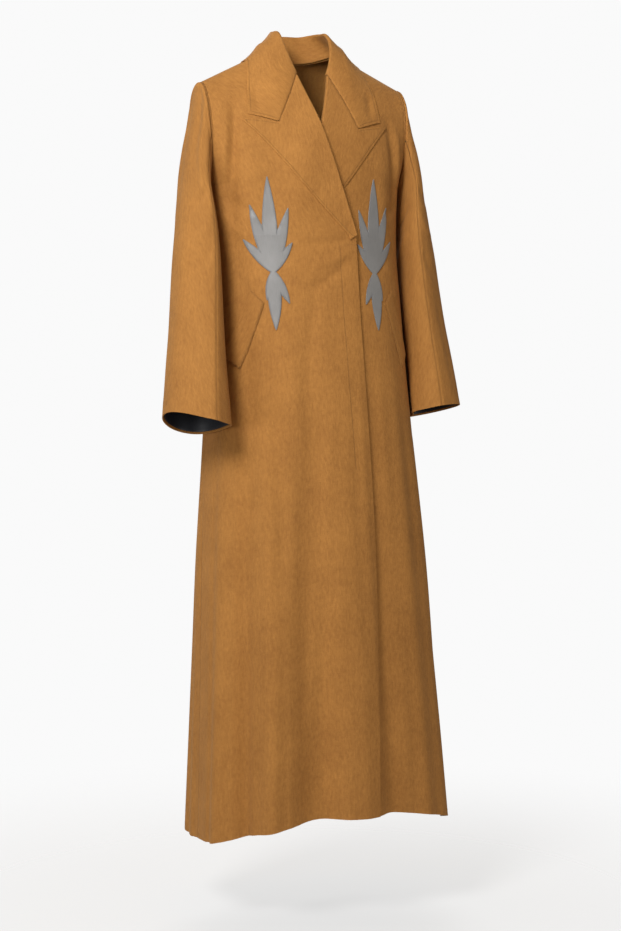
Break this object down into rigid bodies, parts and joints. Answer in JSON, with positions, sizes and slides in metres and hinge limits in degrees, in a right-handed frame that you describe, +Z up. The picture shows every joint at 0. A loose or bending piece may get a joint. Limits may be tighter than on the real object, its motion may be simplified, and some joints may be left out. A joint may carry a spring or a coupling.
{
  "type": "coat abaya",
  "caption": "Full-length open-front coat abaya as worn, hollow, with notched collar, lapels lapped right over left, straight sleeves and applied satin leaf motifs.",
  "frame": {"origin": "midway between the two neck points, the upper ends of the shoulder seams, where the garment is held", "axes": "+Z up along the body, the front faces -Y, the wearer's right side is -X"},
  "size_m": [0.5878, 0.3822, 1.4839],
  "materials": {
    "camel_linen": "matte slubbed linen twill in camel",
    "grey_satin": "soft satin in silver grey",
    "dark_lining": "smooth blue-black lining"
  },
  "bodies": {
    "root": {"back": "camel_linen", "collar_fall": "camel_linen", "collar_stand": "camel_linen", "front_right": "camel_linen", "front_left": "camel_linen", "lapel_right": "camel_linen", "lapel_left": "camel_linen", "top_sleeve_right": "camel_linen", "under_sleeve_right": "camel_linen", "top_sleeve_left": "camel_linen", "under_sleeve_left": "camel_linen", "sleeve_lining_right": "dark_lining", "sleeve_lining_left": "dark_lining", "pocket_welt_right": "camel_linen", "pocket_welt_left": "camel_linen", "motif_right": "grey_satin", "motif_left": "grey_satin"}
  },
  "joints": []
}
